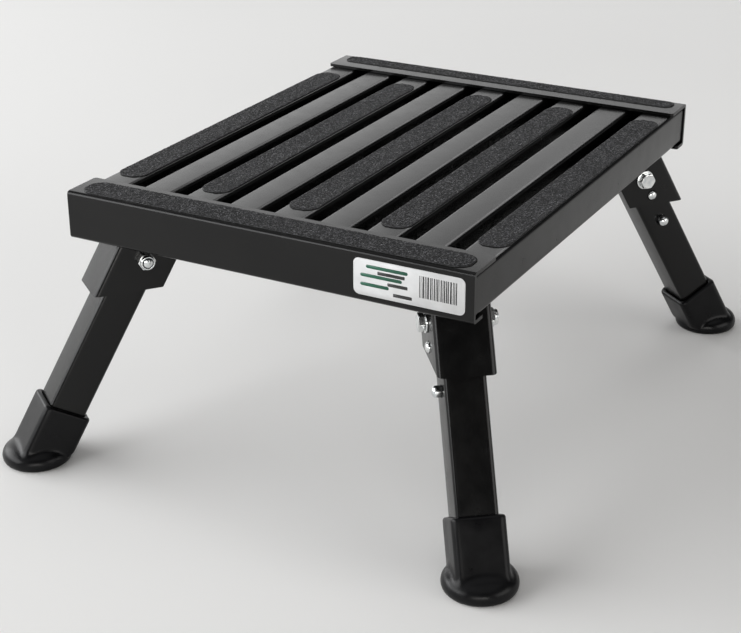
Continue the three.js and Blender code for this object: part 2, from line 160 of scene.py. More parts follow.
def loft(rings, closed=False):
    """Faces over rings of points. A ring of one point is a pole; open ends are capped flat."""
    vertices, faces, starts = [], [], []
    for ring in rings:
        starts.append(len(vertices))
        vertices += ring
    pairs = list(zip(range(len(rings)), range(1, len(rings))))
    if closed:
        pairs.append((len(rings) - 1, 0))
    for a, b in pairs:
        one, two = starts[a], starts[b]
        sides = max(len(rings[a]), len(rings[b]))
        for i in range(sides):
            j = (i + 1) % sides
            if len(rings[a]) == 1:
                faces.append((one, two + j, two + i))
            elif len(rings[b]) == 1:
                faces.append((one + i, one + j, two))
            else:
                faces.append((one + i, one + j, two + j, two + i))
    if not closed:
        for index in (0, len(rings) - 1):
            if len(rings[index]) > 2:
                faces.append(tuple(range(starts[index], starts[index] + len(rings[index]))))
    return vertices, faces


def turned(profile, sides=64, closed=False):
    """A solid of revolution about Z from (radius, height) points."""
    rings = []
    for radius, height in profile:
        if radius < 1e-6:
            rings.append([(0, 0, height)])
            continue
        turns = [2 * math.pi * i / sides for i in range(sides)]
        rings.append([(radius * math.cos(t), radius * math.sin(t), height) for t in turns])
    return loft(rings, closed)


def merged(*solids):
    """Several solids as one list of points and faces, each with its own material number."""
    vertices, faces, inks = [], [], []
    for ink, (points, polygons) in solids:
        start = len(vertices)
        vertices += points
        faces += [tuple(start + i for i in polygon) for polygon in polygons]
        inks += [ink] * len(polygons)
    return vertices, faces, inks


def wall(outer, inner, low, high, closed):
    """A wall of paired outer and inner points drawn along Z. low and high give each pair's ends."""
    count = len(outer)
    vertices = []
    for i in range(count):
        for x, y in (outer[i], inner[i]):
            vertices += [(x, y, low[i]), (x, y, high[i])]
    faces = []
    for i in range(count if closed else count - 1):
        a, b = 4 * i, 4 * ((i + 1) % count)
        faces += [
            (a, b, b + 1, a + 1),
            (a + 2, a + 3, b + 3, b + 2),
            (a, a + 2, b + 2, b),
            (a + 1, b + 1, b + 3, a + 3),
        ]
    if not closed:
        last = 4 * (count - 1)
        faces += [(0, 1, 3, 2), (last, last + 2, last + 3, last + 1)]
    return vertices, faces


def cut_away(mesh, cutters):
    """The mesh with each cutter's solid taken out of it. Both are in the same axes."""
    blank = bpy.data.objects.new("blank", mesh)
    tools = [bpy.data.objects.new("tool", cutter) for cutter in cutters]
    for obj in (blank, *tools):
        bpy.context.scene.collection.objects.link(obj)
    for tool in tools:
        cut = blank.modifiers.new("cut", "BOOLEAN")
        cut.operation, cut.solver, cut.object = "DIFFERENCE", "EXACT", tool
    graph = bpy.context.evaluated_depsgraph_get()
    result = bpy.data.meshes.new_from_object(blank.evaluated_get(graph))
    for obj in (blank, *tools):
        bpy.data.objects.remove(obj)
    return result


def block(low, high, place=None):
    """A cutter: a plain block between two corners, moved from the place's axes if one is given."""
    xs, ys, zs = zip(low, high)
    corners = [(x, y, z) for x in xs for y in ys for z in zs]
    if place:
        corners = [place @ Vector(c) for c in corners]
    sides = [(0, 1, 3, 2), (4, 6, 7, 5), (0, 4, 5, 1), (2, 3, 7, 6), (0, 2, 6, 4), (1, 5, 7, 3)]
    return to_mesh("block", corners, sides)


def drill(diameter, first, last, height=0.0):
    """A cutter: a round bar along Y at a height on the leg."""
    bar, faces = turned([(diameter / 2, first), (diameter / 2, last)], HOLE_SIDES)
    return to_mesh("drill", [(x, z, height - y) for x, y, z in bar], faces)


def piece(name, mesh, place, body, materials, node=None, edge=EDGE, angle=38):
    """A finished piece on its body, standing for the CAD node of the same name."""
    mesh = mesh.copy()
    mesh.transform(place)
    for material in materials:
        mesh.materials.append(material)
    mesh.polygons.foreach_set("use_smooth", [True] * len(mesh.polygons))
    obj = bpy.data.objects.new(f"{name}_finished", mesh)
    bpy.context.scene.collection.objects.link(obj)
    if edge:
        bevel = obj.modifiers.new("broken edges", "BEVEL")
        bevel.width, bevel.segments, bevel.limit_method = edge * MM, 2, "ANGLE"
        bevel.angle_limit = math.radians(angle)
        bevel.harden_normals = True
    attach(obj, body)
    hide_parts(node or name)
    return obj


# ---- materials ----
class Shader:
    """A principled material and the few node shapes that the finishes share."""

    def __init__(self, name):
        self.material = bpy.data.materials.new(name)
        self.material.use_nodes = True
        self.tree = self.material.node_tree
        self.surface = self.tree.nodes["Principled BSDF"]
        self.place = self.tree.nodes.new("ShaderNodeTexCoord").outputs["Object"]
        self.height = None

    def link(self, out, to):
        self.tree.links.new(out, to)

    def stretched(self, x, y, z):
        node = self.tree.nodes.new("ShaderNodeMapping")
        node.inputs["Scale"].default_value = (x, y, z)
        self.link(self.place, node.inputs["Vector"])
        return node.outputs[0]

    def noise(self, size_mm, detail=3.0, rough=0.5, where=None):
        """Noise whose blobs are about this many millimetres across."""
        node = self.tree.nodes.new("ShaderNodeTexNoise")
        node.inputs["Scale"].default_value = 1000.0 / size_mm
        node.inputs["Detail"].default_value = detail
        node.inputs["Roughness"].default_value = rough
        self.link(where or self.place, node.inputs["Vector"])
        return node.outputs[0]

    def cells(self, size_mm, output="Color"):
        node = self.tree.nodes.new("ShaderNodeTexVoronoi")
        node.inputs["Scale"].default_value = 1000.0 / size_mm
        self.link(self.place, node.inputs["Vector"])
        return node.outputs[output]

    def ramp(self, value, stops):
        """Turns a value into a colour or a number through (position, grey or colour) stops."""
        node = self.tree.nodes.new("ShaderNodeValToRGB")
        ramp = node.color_ramp
        while len(ramp.elements) < len(stops):
            ramp.elements.new(0.5)
        for element, (position, shade) in zip(ramp.elements, stops):
            element.position = position
            rgb = shade if isinstance(shade, tuple) else (shade, shade, shade)
            element.color = (*rgb, 1)
        self.link(value, node.inputs["Fac"])
        return node.outputs["Color"]

    def mix(self, share, one, two):
        node = self.tree.nodes.new("ShaderNodeMix")
        node.data_type = "RGBA"
        for key, value in (("Factor", share), ("A", one), ("B", two)):
            socket = node.inputs[key]
            if isinstance(value, bpy.types.NodeSocket):
                self.link(value, socket)
            else:
                socket.default_value = value
        return node.outputs["Result"]

    def bump(self, value, depth_mm, strength=1.0):
        node = self.tree.nodes.new("ShaderNodeBump")
        node.inputs["Distance"].default_value = depth_mm * MM
        node.inputs["Strength"].default_value = strength
        self.link(value, node.inputs["Height"])
        if self.height:
            self.link(self.height, node.inputs["Normal"])
        self.height = node.outputs["Normal"]
        self.link(self.height, self.surface.inputs["Normal"])

    def set(self, **values):
        for key, value in values.items():
            socket = self.surface.inputs[key.replace("_", " ")]
            if isinstance(value, bpy.types.NodeSocket):
                self.link(value, socket)
            else:
                socket.default_value = value


def powder_coat():
    """Semi-gloss black powder coat: fine orange peel, cloudy gloss and a little settled dust."""
    s = Shader("powder_coat")
    tone = s.ramp(s.noise(45, 4), [(0.35, (0.0012, 0.0012, 0.0013)), (0.7, (0.003, 0.0029, 0.0028))])
    dust = s.ramp(s.noise(0.9, 2), [(0.7, 0.0), (0.82, 0.5)])
    s.set(Base_Color=s.mix(dust, tone, (0.02, 0.02, 0.0195, 1)))
    s.set(Roughness=s.ramp(s.noise(14, 5, 0.6), [(0.3, 0.19), (0.72, 0.28)]), IOR=1.37)
    s.bump(s.noise(1.5, 2), 0.035, 0.5)
    s.bump(s.noise(0.35, 2), 0.02, 0.35)
    return s.material


def grit():
    """Black abrasive: mineral grains of mixed gloss in a matt black binder, with a few grains painted pale as
    glints.
    """
    s = Shader("abrasive_grit")
    grain = s.cells(0.85)
    # The last colour is a painted highlight: a pale colour on a few random grains that stands in for their
    # sparkle.
    binder, stone, painted_glint = (0.001, 0.001, 0.0015), (0.007, 0.007, 0.0085), (0.12, 0.12, 0.132)
    s.set(Base_Color=s.ramp(grain, [(0.3, binder), (0.72, stone), (0.94, painted_glint)]))
    s.set(Roughness=s.ramp(s.cells(0.75), [(0.12, 0.24), (0.4, 0.85)]), IOR=1.4)
    s.bump(s.cells(0.85, "Distance"), 0.38, 1.0)
    s.bump(s.noise(0.5, 3), 0.14, 0.8)
    return s.material


def grit_edge():
    """The strip's backing film, seen at its cut edge."""
    s = Shader("strip_backing")
    s.set(Base_Color=s.ramp(s.noise(1.2, 3), [(0.3, 0.012), (0.7, 0.03)]), Roughness=0.55)
    s.bump(s.noise(0.4, 3), 0.06, 0.6)
    return s.material


def zinc_plate():
    """Bright zinc with a faint blue passivate, tumbled marks and a few duller patches."""
    s = Shader("zinc_plate")
    dull, bright, blue = (0.66, 0.69, 0.71), (0.85, 0.86, 0.85), (0.76, 0.8, 0.84)
    s.set(Base_Color=s.ramp(s.noise(3.5, 4), [(0.3, dull), (0.6, bright), (0.8, blue)]), Metallic=1.0)
    s.set(Roughness=s.ramp(s.noise(1.4, 5, 0.65), [(0.3, 0.12), (0.75, 0.28)]))
    s.bump(s.noise(0.5, 4), 0.02, 0.45)
    return s.material


def spring_steel():
    """Blued strip steel, its rolling marks along the leg."""
    s = Shader("spring_steel")
    lines = s.noise(1.2, 4, where=s.stretched(1, 1, 0.04))
    s.set(Base_Color=s.ramp(lines, [(0.3, (0.2, 0.21, 0.235)), (0.7, (0.36, 0.37, 0.4))]), Metallic=1.0)
    s.set(Roughness=s.ramp(lines, [(0.3, 0.26), (0.7, 0.42)]))
    s.bump(lines, 0.012, 0.5)
    return s.material


def rubber():
    """Matt black moulded rubber: fine moulded grain, soft cloudy bloom and faint scuffs."""
    s = Shader("moulded_rubber")
    bloom = s.noise(16, 5, 0.6)
    scuff = s.ramp(s.noise(7, 6, 0.7, s.stretched(1, 1, 0.35)), [(0.62, 0.0), (0.78, 0.45)])
    base = s.ramp(bloom, [(0.3, (0.0012, 0.0012, 0.0016)), (0.75, (0.003, 0.003, 0.0036))])
    s.set(Base_Color=s.mix(scuff, base, (0.014, 0.0145, 0.016, 1)))
    s.set(Roughness=s.ramp(bloom, [(0.3, 0.26), (0.75, 0.4)]), IOR=1.29)
    s.bump(s.noise(0.9, 3), 0.035, 0.5)
    s.bump(s.noise(5, 3), 0.15, 0.25)
    return s.material


def nylon():
    """Dark blue-grey nylon, a little mottled."""
    s = Shader("nylon_insert")
    mottle = [(0.3, (0.012, 0.014, 0.018)), (0.7, (0.025, 0.028, 0.034))]
    s.set(Base_Color=s.ramp(s.noise(1.1, 3), mottle))
    s.set(Roughness=0.42)
    s.bump(s.noise(0.5, 2), 0.02, 0.4)
    return s.material


def label_film():
    """White satin sticker film with a faint fibre and tone."""
    s = Shader("label_film")
    s.set(Base_Color=s.ramp(s.noise(9, 4), [(0.3, (0.54, 0.545, 0.55)), (0.7, (0.61, 0.615, 0.62))]))
    s.set(Roughness=s.ramp(s.noise(2.0, 4), [(0.3, 0.3), (0.7, 0.42)]))
    s.bump(s.noise(2.5, 3), 0.02, 0.35)
    return s.material


def ink(name, low, high):
    """Printed ink, a little uneven where the film's texture takes it."""
    s = Shader(name)
    s.set(Base_Color=s.ramp(s.noise(0.8, 4), [(0.3, low), (0.75, high)]), Roughness=0.42)
    s.bump(s.noise(0.6, 3), 0.01, 0.4)
    return s.material


POWDER, GRIT, BACKING, ZINC = powder_coat(), grit(), grit_edge(), zinc_plate()
SPRING, RUBBER, NYLON, FILM = spring_steel(), rubber(), nylon(), label_film()
BLACK_INK = ink("black_ink", (0.012, 0.012, 0.013), (0.03, 0.03, 0.03))
GREEN_INK = ink("green_ink", (0.012, 0.085, 0.05), (0.02, 0.12, 0.072))


# ---- deck ----
def rail(name):
    """A bent channel, open ended: a deep flange over the slats' ends and a shallow one under them."""
    low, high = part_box(f"{name}_rail")
    depth, length = (high.y - low.y) / MM, (high.x - low.x) / MM
    inward = 1 if name == "front" else -1
    origin = Vector(((low.x + high.x) / 2, low.y if inward > 0 else high.y, low.z))
    place = axes_at(origin, Vector((0, inward, 0)), UP, Vector((inward, 0, 0)))
    height, thick = (high.z - low.z) / MM, RAIL["wall"]
    bend, corner = RAIL["bend"], RAIL["corner"]

    def flange(reach):
        """From a flange's tip to the middle of its bend: outer points, inner points, end trims."""
        outer, inner, trims = [], [], []
        for step in range(7):
            turn = math.radians(90 * (1 - step / 6))
            x = reach - corner + corner * math.sin(turn)
            outer.append((x, 0))
            inner.append((x, thick))
            trims.append(corner * (1 - math.cos(turn)))
        outer += arc(bend, bend, bend, 270, 180, 8)
        inner += arc(bend, bend, bend - thick, 270, 180, 8)
        return outer, inner, trims + [0] * 9

    outer, inner, trims = flange(RAIL["bottom_flange"])
    top_outer, top_inner, top_trims = flange(depth)
    outer += [(x, height - y) for x, y in reversed(top_outer)]
    inner += [(x, height - y) for x, y in reversed(top_inner)]
    ends = [length / 2 - trim for trim in trims + top_trims[::-1]]
    mesh = to_mesh(f"{name}_rail", *wall(outer, inner, [-end for end in ends], ends, closed=False))
    piece(f"{name}_rail", mesh, place, "deck", [POWDER], edge=RAIL["edge"])


def tube(name, half_x, half_y, size, low, high):
    """A tube along Z with rounded corners inside and out."""
    corner, thick = size["corner"], size["wall"]
    outer = rounded_rectangle(half_x, half_y, corner)
    inner = rounded_rectangle(half_x - thick, half_y - thick, max(corner - thick, 0.6))
    return to_mesh(name, *wall(outer, inner, [low] * len(outer), [high] * len(outer), closed=True))


def slats():
    """Every slat is the same tube, set on its own CAD node."""
    count = sum(1 for n in frame["nodes"] if n.startswith("slat_") and n[5:].isdigit())
    mesh = None
    for number in range(1, count + 1):
        low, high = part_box(f"slat_{number}")
        half = (high - low) / 2 / MM
        if mesh is None:
            mesh = tube("slat", half.x, half.z, SLAT, -half.y, half.y)
        place = axes_at((low + high) / 2, Vector((1, 0, 0)), UP, Vector((0, -1, 0)))
        piece(f"slat_{number}", mesh, place, "deck", [POWDER])


def grip_strip(node, seed):
    """A round-ended strip of abrasive, its grains raised from a grid of points."""
    low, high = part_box(node)
    size = (high - low) / MM
    lengthwise = size.y > size.x
    length, width, thick = max(size.x, size.y), min(size.x, size.y), size.z
    radius, reach = width / 2, length / 2 - width / 2
    rows = round(length / GRIT_STEP)
    columns = round(width / GRIT_STEP)
    drift = Vector((seed * 17.3, seed * 5.1, 0))
    rings = []
    for row in range(1, rows):
        x = -length / 2 + length * row / rows
        past = max(abs(x) - reach, 0)
        ragged = 1 + 0.006 * noise.noise(Vector((x, seed, 0)))
        half = math.sqrt(max(radius * radius - past * past, 0)) * ragged
        ring = [(x, -half, 0)]
        for column in range(columns + 1):
            across = -1 + 2 * column / columns
            point = Vector((x, half * across, 0)) + drift
            coarse, fine, patch = (noise.noise(point * scale) for scale in (1.15, 2.6, 0.28))
            grain = coarse + 0.55 * fine + 0.25 * patch
            depth = GRIT_RELIEF * (0.5 - 0.5 * max(-1, min(1, 1.25 * grain)))
            rounding = 0.12 if column in (0, columns) else 0
            ring.append((x, half * across, thick - depth - rounding))
        ring.append((x, half, 0))
        rings.append(ring)
    vertices, faces = loft(rings)
    count = len(rings[0])
    inks = [0 if 1 <= i % count < count - 2 else 1 for i in range(len(faces) - 2)] + [1, 1]
    centre = Vector(((low.x + high.x) / 2, (low.y + high.y) / 2, low.z))
    along = Vector((0, 1, 0)) if lengthwise else Vector((1, 0, 0))
    place = axes_at(centre, along, UP.cross(along), UP)
    mesh = to_mesh(node, vertices, faces, inks)
    piece(node, mesh, place, "deck", [GRIT, BACKING], edge=0)


def round_cornered(width, height, corner, radius, steps):
    """An outline of a width and height, its corners of a radius about centres that far in."""
    right, top = width / 2 - corner, height / 2 - corner
    outline = []
    for x, z, first in ((right, top, 0), (-right, top, 90), (-right, -top, 180), (right, -top, 270)):
        outline += arc(x, z, radius, first, first + 90, steps) if radius else [(x, z)]
    return outline


def ink_patch(x, z, width, height, film, corner=0.0):
    """A raised patch of ink on the label, centred on a point of it."""
    outline = round_cornered(width, height, corner, corner, 6)
    levels = (film * 0.5, film + INK_HEIGHT)
    return loft([[(x + px, z + pz, at) for px, pz in outline] for at in levels])


def label():
    """A plain sticker: green bands, black bars where small print would be, and a row of stripes."""
    low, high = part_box("blank_label")
    size = (high - low) / MM
    width, height, thick = size.x, size.z, size.y - 0.03
    film = []
    for inset, at in ((0.0, 0.0), (0.0, thick * 0.6), (0.08, thick)):
        outline = round_cornered(width, height, LABEL_CORNER, LABEL_CORNER - inset, 10)
        film.append([(px, pz, at) for px, pz in outline])
    solids = [(0, loft(film))]
    left = -width / 2
    for row, (start, length) in enumerate(((9, 29), (5, 29), (5, 20))):
        middle = left + start + length / 2
        solids.append((2, ink_patch(middle, 7.6 - 6.1 * row, length, 2.3, thick, 1.1)))
    for row, (start, length) in enumerate(((17, 19), (24, 14), (28, 13))):
        middle = left + start + length / 2
        solids.append((1, ink_patch(middle, 4.3 - 6.3 * row, length, 2.2, thick, 0.4)))
    stripes = random.Random(4)
    x = width / 2 - 31
    while x < width / 2 - 6:
        bar = stripes.choice((0.35, 0.5, 0.8, 1.1))
        solids.append((1, ink_patch(x + bar / 2, 1.2, bar, 14.5, thick)))
        x += bar + stripes.choice((0.4, 0.55, 0.8))
    place = axes_at(
        Vector(((low.x + high.x) / 2, high.y, (low.z + high.z) / 2)),
        Vector((1, 0, 0)), UP, Vector((0, -1, 0)),
    )
    mesh = to_mesh("blank_label", *merged(*solids))
    piece("blank_label", mesh, place, "deck", [FILM, BLACK_INK, GREEN_INK], edge=0)


# ---- legs ----
def bracket(corner, place):
    """A bent U channel cut level under the deck and at its foot, coped round the rail's flange."""
    node = f"leg_bracket_{corner}"
    half = box_in(place, f"pivot_bushing_{corner}")[1].y + 0.2 + BRACKET["wall"]
    local_low, local_high = box_in(place, node)
    web, edge = local_high.x, local_low.x
    bend, thick = BRACKET["bend"], BRACKET["wall"]
    outer = [(edge, -half)] + arc(web - bend, bend - half, bend, -90, 0, 10)
    inner = [(edge, thick - half)] + arc(web - bend, bend - half, bend - thick, -90, 0, 10)
    outer += [(x, -y) for x, y in reversed(outer)]
    inner += [(x, -y) for x, y in reversed(inner)]
    reach = 60
    count = len(outer)
    blank = to_mesh(node, *wall(outer, inner, [-reach] * count, [reach] * count, closed=False))
    low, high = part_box(node)
    deck = place.inverted() @ Matrix.Scale(MM, 4)
    to_leg = Matrix.Scale(1 / MM, 4) @ deck
    bottom, top = low.z / MM, high.z / MM
    rail_low, rail_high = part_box("front_rail" if "front" in corner else "rear_rail")
    cope = RAIL["bottom_flange"] + JOIN_GAP
    if "front" in corner:
        rail_y = (-CLEAR, rail_low.y / MM + cope)
    else:
        rail_y = (rail_high.y / MM - cope, CLEAR)
    pin = box_in(place, f"lock_pin_{corner}")
    cutters = [
        block((-CLEAR, -CLEAR, -CLEAR), (CLEAR, CLEAR, bottom), to_leg),
        block((-CLEAR, -CLEAR, top), (CLEAR, CLEAR, CLEAR), to_leg),
        block((-CLEAR, rail_y[0], rail_low.z / MM - JOIN_GAP), (CLEAR, rail_y[1], CLEAR), to_leg),
        drill(BOLT["hole"], -half - 3, half + 3),
        drill(BRACKET_PIN_HOLE, -half - 3, 0, (pin[0].z + pin[1].z) / 2),
    ]
    mesh = cut_away(blank, cutters)
    piece(node, mesh, place, "deck", [POWDER], edge=0.4, angle=32)


def leg_tube_mesh(place, corner):
    """The square tube, drilled for the bushing, the lock pin and the release button."""
    low, high = box_in(place, f"leg_tube_{corner}")
    pin = box_in(place, f"lock_pin_{corner}")
    button = box_in(place, f"release_button_{corner}")
    bushing = box_in(place, f"pivot_bushing_{corner}")
    bar = tube("leg_tube", high.x, high.x, TUBE, low.z, high.z)
    reach = high.y + 3
    return cut_away(bar, [
        drill(bushing[1].x * 2 + 0.2, -reach, reach),
        drill(PLUNGER_HOLE, -reach, 0, (pin[0].z + pin[1].z) / 2),
        drill(BUTTON_HOLE, -reach, 0, (button[0].z + button[1].z) / 2),
    ])


def boot_mesh(place, sole, corner):
    """A rubber boot: each line up the square sleeve is carried down over the domed shoulder."""
    rim = box_in(place, f"rubber_foot_{corner}")[1].z
    half = BOOT["half"]
    foot = place.inverted() @ sole / MM
    lean = math.acos(max(-1, min(1, (place.to_3x3() @ UP).z)))
    cos, sin = math.cos(lean), math.sin(lean)
    centre = foot.z

    def upright(point):
        """From the leg's axes to upright ones at the middle of the sole, X outwards."""
        x, y, z = point[0], point[1], point[2] - centre
        return Vector((x * cos - z * sin, y, x * sin + z * cos))

    def leaning(point):
        x, y, z = point
        return (x * cos + z * sin, y, -x * sin + z * cos + centre)

    wide, height, dome = SOLE["widest"], SOLE["widest_height"], SOLE["dome"]

    def dome_point(turn, bearing):
        """A point on the shoulder, from its widest at turn 0 to its top at 90 degrees."""
        radius = wide * math.sqrt(max(math.cos(turn), 0))
        z = height + dome * math.sin(turn)
        return Vector((radius * math.cos(bearing), radius * math.sin(bearing), z))

    def crease(x, y):
        """Where a line up the sleeve meets the shoulder."""
        low_z, high_z = centre, centre + 60
        for _ in range(50):
            middle = (low_z + high_z) / 2
            p = upright((x, y, middle))
            share = min(math.hypot(p.x, p.y) / wide, 1)
            surface = height + dome * math.sqrt(1 - share ** 4)
            if p.z < surface:
                low_z = middle
            else:
                high_z = middle
        return (x, y, high_z)

    sleeve = sleeve_ring(half, BOOT["corner"])
    lines = []
    for x, y in sleeve:
        meet = crease(x, y)
        p = upright(meet)
        bearing = math.atan2(p.y, p.x)
        top_turn = math.asin(max(0, min(1, (p.z - height) / dome)))
        turn = top_turn
        while turn > 0.3 * top_turn and (dome_point(turn, bearing) - p).length < SHOULDER_FILLET:
            turn -= 0.01
        line = [Vector((0.0, 0.0, 0.0))]
        for step in range(9):
            roll = math.radians(90 * step / 8)
            radius = SOLE["flat"] + (wide - SOLE["flat"]) * math.sin(roll)
            z = height * (1 - math.cos(roll))
            line.append(Vector((radius * math.cos(bearing), radius * math.sin(bearing), z)))
        line += [dome_point(turn * step / 10, bearing) for step in range(1, 11)]
        start, end = line[-1], upright((x, y, meet[2] + SHOULDER_FILLET))
        for step in range(1, 7):
            t = step / 6
            line.append(start * (1 - t) ** 2 + p * (2 * t * (1 - t)) + end * t * t)
        lines.append([leaning(v) for v in line[1:]])
    rings = [list(ring) for ring in zip(*lines)]
    start_z = [line[-1][2] for line in lines]
    end_z = rim - BOOT["rim"]
    for share in (0.25, 0.5, 0.75):
        rings.append([(x, y, z + (end_z - z) * share) for (x, y), z in zip(sleeve, start_z)])
    for step in range(7):
        turn = math.radians(90 * step / 6)
        inset = BOOT["rim"] * (1 - math.cos(turn))
        z = rim - BOOT["rim"] * (1 - math.sin(turn))
        ring = sleeve_ring(half - inset, BOOT["corner"] - inset)
        rings.append([(x, y, z) for x, y in ring])
    socket, lip = BOOT["socket"], BOOT["lip"]
    for step in range(5):
        turn = math.radians(90 * step / 4)
        widen = lip * (1 - math.sin(turn))
        ring = sleeve_ring(socket + widen, BOOT["socket_corner"] + widen)
        rings.append([(x, y, rim - lip * (1 - math.cos(turn))) for x, y in ring])
    bottom = box_in(place, f"leg_tube_{corner}")[0].z - JOIN_GAP
    rings.append([(x, y, bottom) for x, y in sleeve_ring(socket, BOOT["socket_corner"])])
    return to_mesh("rubber_foot", *loft(rings))


def hex_ring(flats, height, chamfer_from=None, slope=CHAMFER_SLOPE, sides=96):
    """A ring round a hexagon. With a chamfer, each point drops by how far it is out from it."""
    ring = []
    for i in range(sides):
        turn = 2 * math.pi * i / sides
        off = (turn + math.pi / 6) % (math.pi / 3) - math.pi / 6
        radius = min(flats / 2 / math.cos(off), flats / 2 * HEX_CORNER)
        z = height
        if chamfer_from is not None:
            z -= math.copysign(max(radius - chamfer_from, 0) * abs(slope), slope)
        ring.append((radius * math.cos(turn), radius * math.sin(turn), z))
    return ring


def round_ring(radius, height, sides=96):
    """A level ring about Z."""
    turns = [2 * math.pi * i / sides for i in range(sides)]
    return [(radius * math.cos(t), radius * math.sin(t), height) for t in turns]


def bolt_mesh(flats, tip, under_head, top):
    """A hex bolt: its chamfered head, washer face, shank and a rolled thread at its end."""
    radius = BOLT["diameter"] / 2
    root = radius - BOLT["thread_depth"]
    rings = [[(0, 0, tip)], round_ring(radius - 0.75, tip), round_ring(radius - 0.3, tip + 0.35)]
    z = tip + 0.5
    while z < tip + BOLT["thread_length"]:
        rings += [round_ring(radius, z), round_ring(radius, z + 0.16)]
        rings += [round_ring(root, z + 0.62), round_ring(root, z + 0.78)]
        z += BOLT["pitch"]
    rings += [round_ring(radius, z), round_ring(radius, under_head)]
    rings += [round_ring(flats * 0.47, under_head), round_ring(flats * 0.47, under_head + 0.25)]
    rings += [hex_ring(flats, under_head + 0.25), hex_ring(flats, top, flats * 0.475)]
    rings += [round_ring(flats * 0.475, top), round_ring(flats * 0.44, top - 0.02)]
    rings += [round_ring(flats * 0.36, top - 0.22), round_ring(flats * 0.3, top - 0.24)]
    rings.append([(0, 0, top - 0.24)])
    return to_mesh("pivot_bolt", *loft(rings))


def nut_mesh(flats, base, top):
    """A lock nut: hexagon, rolled collar, and the nylon ring that the collar holds."""
    bore, collar, shoulder = NUT["bore"], NUT["collar"], base + NUT["shoulder"]
    chamfer = flats * 0.475
    rings = [round_ring(bore, base + 0.3), round_ring(bore + 0.35, base), round_ring(chamfer, base)]
    rings += [hex_ring(flats, base, chamfer, slope=-CHAMFER_SLOPE), hex_ring(flats, shoulder, chamfer)]
    rings += [round_ring(chamfer, shoulder), round_ring(collar + 0.12, shoulder + 0.02)]
    rings += [round_ring(collar, shoulder + 0.2), round_ring(collar, top - 0.9)]
    for step in range(1, 6):
        turn = math.radians(90 * step / 5)
        rings.append(round_ring(collar - 0.8 * (1 - math.cos(turn)), top - 0.9 + 0.9 * math.sin(turn)))
    rings += [round_ring(collar - 1.15, top - 0.12), round_ring(collar - 1.25, top - 0.4)]
    rings += [round_ring(collar - 1.25, shoulder - 0.2), round_ring(bore, shoulder - 0.5)]
    steel = loft(rings, closed=True)
    insert = [(collar - 1.28, shoulder - 0.1), (collar - 1.28, top - 0.55), (collar - 1.5, top - 0.42)]
    insert += [(bore + 0.25, top - 0.42), (bore - 0.02, top - 0.6), (bore - 0.02, shoulder - 0.1)]
    return to_mesh("pivot_nut", *merged((0, steel), (1, turned(insert, 96, closed=True))))


def ring_mesh(name, outer, inner, low, high, edge):
    """A washer or bushing, its edges rolled."""
    far, near, bottom, top = outer - edge, inner + edge, low + edge, high - edge
    profile = arc(far, bottom, edge, 270, 360, 4) + arc(far, top, edge, 0, 90, 4)
    profile += arc(near, top, edge, 90, 180, 4) + arc(near, bottom, edge, 180, 270, 4)
    return to_mesh(name, *turned(profile, 80, closed=True))


def plunger_mesh(name, radius, base, tip, dome):
    """A turned plunger: a groove where the leaf grips it, a straight body and a domed end."""
    neck = radius - 0.8
    profile = [(0, base), (radius - 0.5, base), (radius, base + 0.4), (radius, base + 0.9)]
    profile += [(neck, base + 1.2), (neck, base + 1.7), (radius, base + 2.0), (radius, tip - dome)]
    for step in range(1, 12):
        turn = math.radians(90 * step / 12)
        profile.append((radius * math.cos(turn), tip - dome + dome * math.sin(turn)))
    profile.append((0, tip))
    return to_mesh(name, *turned(profile, 64))


def leaf_mesh(low, high):
    """The V leaf: a strip that runs down one wall of the tube, round, and up to the other."""
    bend, thick = LEAF["bend"], LEAF["thick"]
    centre = (low.y + bend, low.z + bend)
    top, far_top = high.z, high.z - LEAF["far_arm"]
    outer = [(low.y, top)] + arc(*centre, bend, 180, 315, 16)
    inner = [(low.y + thick, top)] + arc(*centre, bend - thick, 180, 315, 16)
    outer += [(high.y - 0.25, far_top), (high.y - 1.3, far_top + 1.1)]
    inner += [(high.y - 1.15, far_top), (high.y - 2.1, far_top + 0.6)]
    half = (high.x - low.x) / 2
    count = len(outer)
    vertices, faces = wall(outer, inner, [-half] * count, [half] * count, closed=False)
    return to_mesh("lock_spring", [(x, y, z) for y, z, x in vertices], faces)


def side_place(place, side):
    """Axes on the pivot side of a leg: Z out through the bracket's side plate."""
    face, across, along = (place.to_3x3().col[i].copy() for i in range(3))
    return axes_at(place.translation, face, along * -side, across * side)


